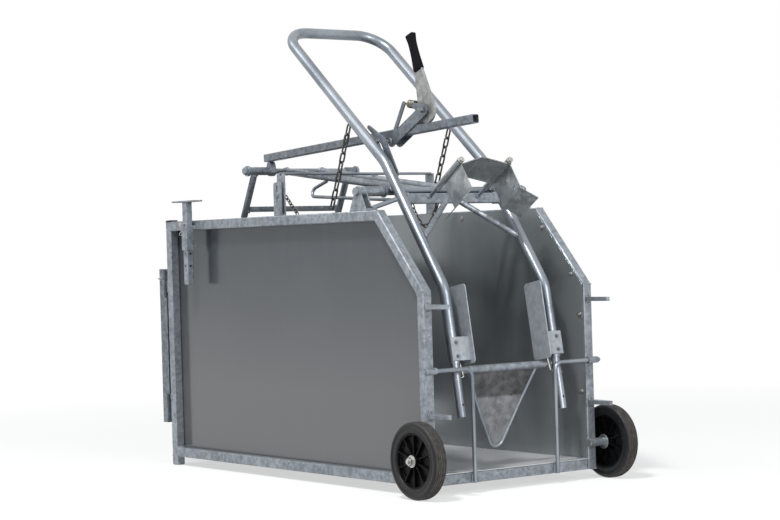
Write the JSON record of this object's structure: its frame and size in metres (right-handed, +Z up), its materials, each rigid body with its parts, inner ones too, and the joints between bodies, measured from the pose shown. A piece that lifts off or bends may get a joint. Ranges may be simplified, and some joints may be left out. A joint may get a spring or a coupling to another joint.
{
  "type": "sheep turnover crate",
  "caption": "Wheeled galvanised pen of square tube and sheet with a pivoting neck frame: bent pipe hoop, neck yoke, headrest, rump bar and a lever clamp that turns a sheep over.",
  "frame": {"origin": "on the ground, at the middle of the footprint from the front wheels to the rear latch keeper", "axes": "+Z up, +Y from the wheeled front to the rear gate, +X to the right of someone at the wheeled front who looks towards the gate; the lever and the jack post lie at -X"},
  "size_m": [0.9078, 1.844, 1.6167],
  "materials": {
    "galvanised_tube": "hot-dip galvanised, mottled grey, semi-matt",
    "galvanised_sheet": "smooth galvanised sheet with soft reflections",
    "bright_steel": "smooth bright pipe, bar and plated fasteners",
    "tyre_rubber": "black solid rubber",
    "black_plastic": "black moulded plastic",
    "grip_rubber": "black grip sleeve"
  },
  "bodies": {
    "crate": {"left_side_frame": "galvanised_tube", "right_side_frame": "galvanised_tube", "left_side_sheet": "galvanised_sheet", "right_side_sheet": "galvanised_sheet", "front_bar": "galvanised_tube", "floor_bearer_front": "galvanised_tube", "floor_bearer_rear": "galvanised_tube", "rear_sill": "galvanised_tube", "floor_sheet": "galvanised_sheet", "left_post_cap": "black_plastic", "right_post_cap": "black_plastic", "left_axle": "bright_steel", "right_axle": "bright_steel", "left_axle_nut": "bright_steel", "right_axle_nut": "bright_steel", "left_guard": "bright_steel", "right_guard": "bright_steel", "jack_sleeve": "galvanised_tube", "left_bearing": "galvanised_tube", "right_bearing": "galvanised_tube", "leg_stop": "bright_steel", "left_rest": "galvanised_tube", "right_rest": "galvanised_tube", "latch_keeper": "galvanised_tube"},
    "left_wheel": {"left_tyre": "tyre_rubber", "left_hub": "black_plastic"},
    "right_wheel": {"right_tyre": "tyre_rubber", "right_hub": "black_plastic"},
    "jack": {"jack_post": "galvanised_tube", "jack_pin": "bright_steel"},
    "gate": {"gate_frame": "galvanised_tube", "gate_sheet": "galvanised_sheet"},
    "latch": {"gate_latch": "bright_steel"},
    "neck_frame": {"hoop": "bright_steel", "left_leg_stub": "bright_steel", "right_leg_stub": "bright_steel", "pivot_shaft": "bright_steel", "cross_member": "galvanised_tube", "left_long_tube": "galvanised_tube", "right_long_tube": "galvanised_tube", "rest_rod": "bright_steel", "rear_shaft": "bright_steel", "stay_rod": "bright_steel", "left_headrest_rod": "bright_steel", "right_headrest_rod": "bright_steel", "left_neck_plate": "galvanised_tube", "right_neck_plate": "galvanised_tube", "yoke_tube": "galvanised_tube", "chest_plate": "galvanised_sheet", "chest_rod": "bright_steel", "knee_plate": "galvanised_tube", "clamp_cheeks": "galvanised_tube", "clamp_spring": "bright_steel", "left_chain": "galvanised_tube", "right_chain": "galvanised_tube"},
    "headrest_carriage": {"headrest": "galvanised_tube"},
    "rump": {"rump_bar": "galvanised_tube"},
    "beam": {"clamp_beam": "galvanised_tube"},
    "lever": {"clamp_lever": "galvanised_tube", "lever_grip": "grip_rubber"}
  },
  "joints": [
    {"name": "neck_turn", "type": "hinge", "parent": "crate", "child": "neck_frame", "pos_m": [0, -0.43361, 0.99557], "axis": [1, 0, 0], "range_deg": [0, 170]},
    {"name": "lever_swing", "type": "hinge", "parent": "neck_frame", "child": "lever", "pos_m": [-0.14, -0.548, 1.262], "axis": [1, 0, 0], "range_deg": [0, 50]},
    {"name": "beam_slide", "type": "slide", "parent": "neck_frame", "child": "beam", "axis": [0, 0.9987, -0.0501], "range_m": [0, 0.0175]},
    {"name": "rump_swing", "type": "hinge", "parent": "neck_frame", "child": "rump", "pos_m": [0, 0.42, 1.105], "axis": [1, 0, 0], "range_deg": [-20, 0]},
    {"name": "headrest_slide", "type": "slide", "parent": "neck_frame", "child": "headrest_carriage", "axis": [0, -0.8357, 0.5493], "range_m": [-0.03, 0]},
    {"name": "left_wheel_spin", "type": "hinge", "parent": "crate", "child": "left_wheel", "pos_m": [-0.4086, -0.797, 0.125], "axis": [1, 0, 0], "continuous": true},
    {"name": "right_wheel_spin", "type": "hinge", "parent": "crate", "child": "right_wheel", "pos_m": [0.4086, -0.797, 0.125], "axis": [1, 0, 0], "continuous": true},
    {"name": "gate_swing", "type": "hinge", "parent": "crate", "child": "gate", "pos_m": [-0.3395, 0.856, 0.16], "axis": [0, 0, 1], "range_deg": [0, 95]},
    {"name": "latch_slide", "type": "slide", "parent": "gate", "child": "latch", "axis": [1, 0, 0], "range_m": [0, 0.024]},
    {"name": "jack_slide", "type": "slide", "parent": "crate", "child": "jack", "axis": [0, 0, 1], "range_m": [0, 0.11]}
  ],
  "couplings": [
    {"joint": "beam_slide", "follows": "lever_swing", "m_per_rad": 0.0195},
    {"joint": "rump_swing", "follows": "lever_swing", "ratio": -0.39}
  ]
}
